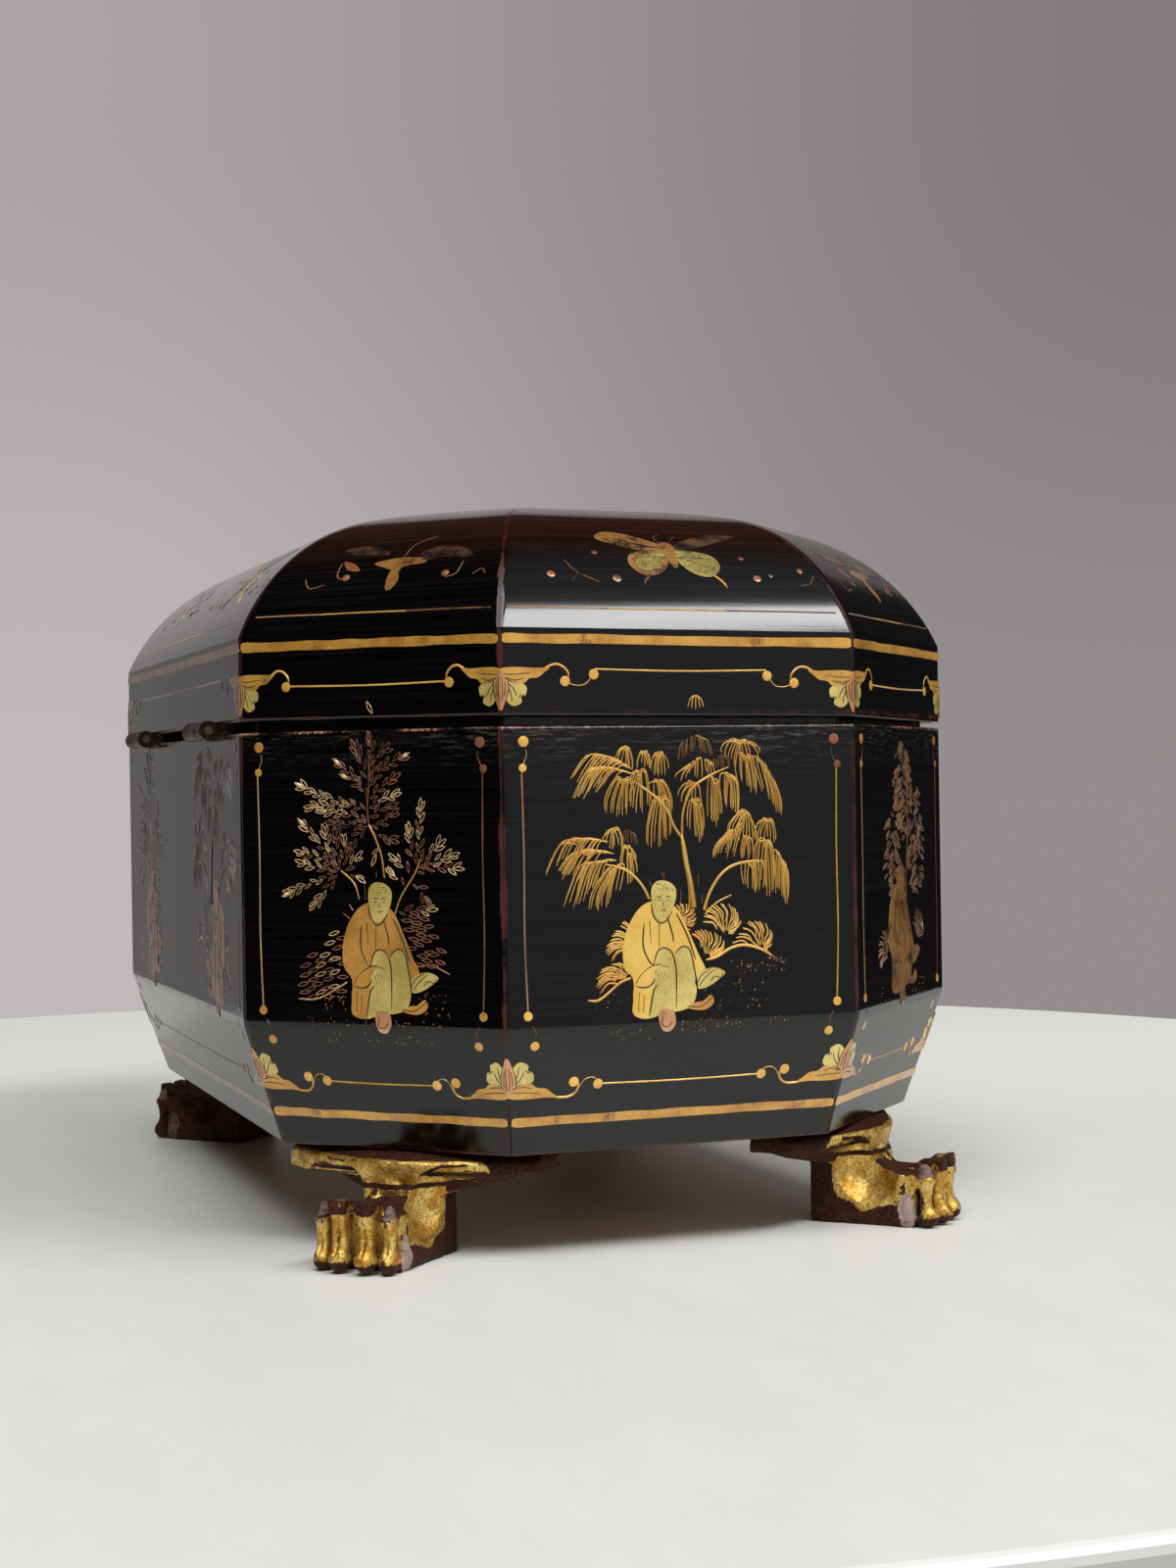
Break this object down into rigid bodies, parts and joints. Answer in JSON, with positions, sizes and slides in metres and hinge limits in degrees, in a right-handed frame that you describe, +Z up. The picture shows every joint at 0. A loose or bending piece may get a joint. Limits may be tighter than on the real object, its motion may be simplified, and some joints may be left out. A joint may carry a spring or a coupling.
{
  "type": "footed ink box",
  "caption": "Lacquered eight-sided ink box with a domed hinged lid, paw feet, a box lock and a lift-out tray holding an inkstone, a water dropper, an ink stick and brushes.",
  "frame": {"origin": "middle of the box's outline, on the surface that the feet stand on", "axes": "+X along the length to the right, -Y towards the lock side, +Y towards the hinges, +Z up"},
  "size_m": [0.203, 0.145, 0.137],
  "materials": {
    "black_lacquer": "polished black lacquer over wood, with gold painting and red-brown wear on the edges",
    "inner_lacquer": "thin dull black lacquer on wood",
    "tray_lacquer": "satin red-brown lacquer on thin boards",
    "bare_wood": "plain softwood, planed",
    "gilt_wood": "carved wood, gilt over red-brown ground, worn",
    "dark_brass": "darkened brass",
    "brass": "old brass, lightly polished",
    "slate": "honed dark slate",
    "porcelain": "glazed white porcelain with blue painting",
    "ink": "moulded ink cake, satin",
    "bamboo": "polished bamboo",
    "hair": "animal hair"
  },
  "bodies": {
    "case": {"bottom_board": "bare_wood", "front_wall": "black_lacquer", "back_wall": "black_lacquer", "left_wall": "black_lacquer", "right_wall": "black_lacquer", "corner_wall_front_left": "black_lacquer", "corner_wall_front_right": "black_lacquer", "corner_wall_back_left": "black_lacquer", "corner_wall_back_right": "black_lacquer", "left_batten": "inner_lacquer", "right_batten": "inner_lacquer", "foot_front_left": "gilt_wood", "foot_front_right": "gilt_wood", "foot_back_left": "gilt_wood", "foot_back_right": "gilt_wood", "foot_dowels": "bare_wood", "hinge_left_case_leaf": "dark_brass", "hinge_right_case_leaf": "dark_brass", "hinge_left_pin": "dark_brass", "hinge_right_pin": "dark_brass", "hinge_case_nails": "dark_brass", "lock_case": "brass", "lock_cover": "brass", "lock_screws": "brass", "escutcheon": "brass", "escutcheon_pins": "brass"},
    "lid": {"lid_front_rail": "black_lacquer", "lid_back_rail": "black_lacquer", "lid_left_rail": "black_lacquer", "lid_right_rail": "black_lacquer", "lid_corner_rail_front_left": "black_lacquer", "lid_corner_rail_front_right": "black_lacquer", "lid_corner_rail_back_left": "black_lacquer", "lid_corner_rail_back_right": "black_lacquer", "lid_crown": "black_lacquer", "hinge_left_lid_leaf": "dark_brass", "hinge_right_lid_leaf": "dark_brass", "hinge_lid_nails": "dark_brass", "lock_catch": "brass", "catch_screws": "brass"},
    "lock_bolt": {"lock_bolt": "brass"},
    "tray": {"tray_floor": "tray_lacquer", "tray_front_wall": "tray_lacquer", "tray_back_wall": "tray_lacquer", "tray_left_wall": "tray_lacquer", "tray_right_wall": "tray_lacquer", "tray_corner_walls": "tray_lacquer", "stone_partition": "tray_lacquer", "ink_partition": "tray_lacquer", "cross_partitions": "tray_lacquer", "brush_rests": "tray_lacquer"},
    "inkstone": {"inkstone": "slate"},
    "water_dropper": {"water_dropper": "porcelain"},
    "ink_stick": {"ink_stick": "ink"},
    "large_brush": {"large_brush_handle": "bamboo", "large_brush_hair": "hair"},
    "small_brush": {"small_brush_handle": "bamboo", "small_brush_hair": "hair"}
  },
  "joints": [
    {"name": "lid_hinge", "type": "hinge", "parent": "case", "child": "lid", "pos_m": [0, 0.07075, 0.09405], "axis": [-1, 0, 0], "range_deg": [0, 100]},
    {"name": "bolt_throw", "type": "slide", "parent": "case", "child": "lock_bolt", "axis": [1, 0, 0], "range_m": [0, 0.0055]},
    {"name": "tray_lift", "type": "slide", "parent": "case", "child": "tray", "axis": [0, 0, 1], "range_m": [0, 0.013]},
    {"name": "stone_lift", "type": "slide", "parent": "tray", "child": "inkstone", "axis": [0, 0, 1], "range_m": [0, 0.008]},
    {"name": "dropper_lift", "type": "slide", "parent": "tray", "child": "water_dropper", "axis": [0, 0, 1], "range_m": [0, 0.008]},
    {"name": "ink_stick_lift", "type": "slide", "parent": "tray", "child": "ink_stick", "axis": [0, 0, 1], "range_m": [0, 0.008]},
    {"name": "large_brush_lift", "type": "slide", "parent": "tray", "child": "large_brush", "axis": [0, 0, 1], "range_m": [0, 0.008]},
    {"name": "small_brush_lift", "type": "slide", "parent": "tray", "child": "small_brush", "axis": [0, 0, 1], "range_m": [0, 0.008]}
  ]
}
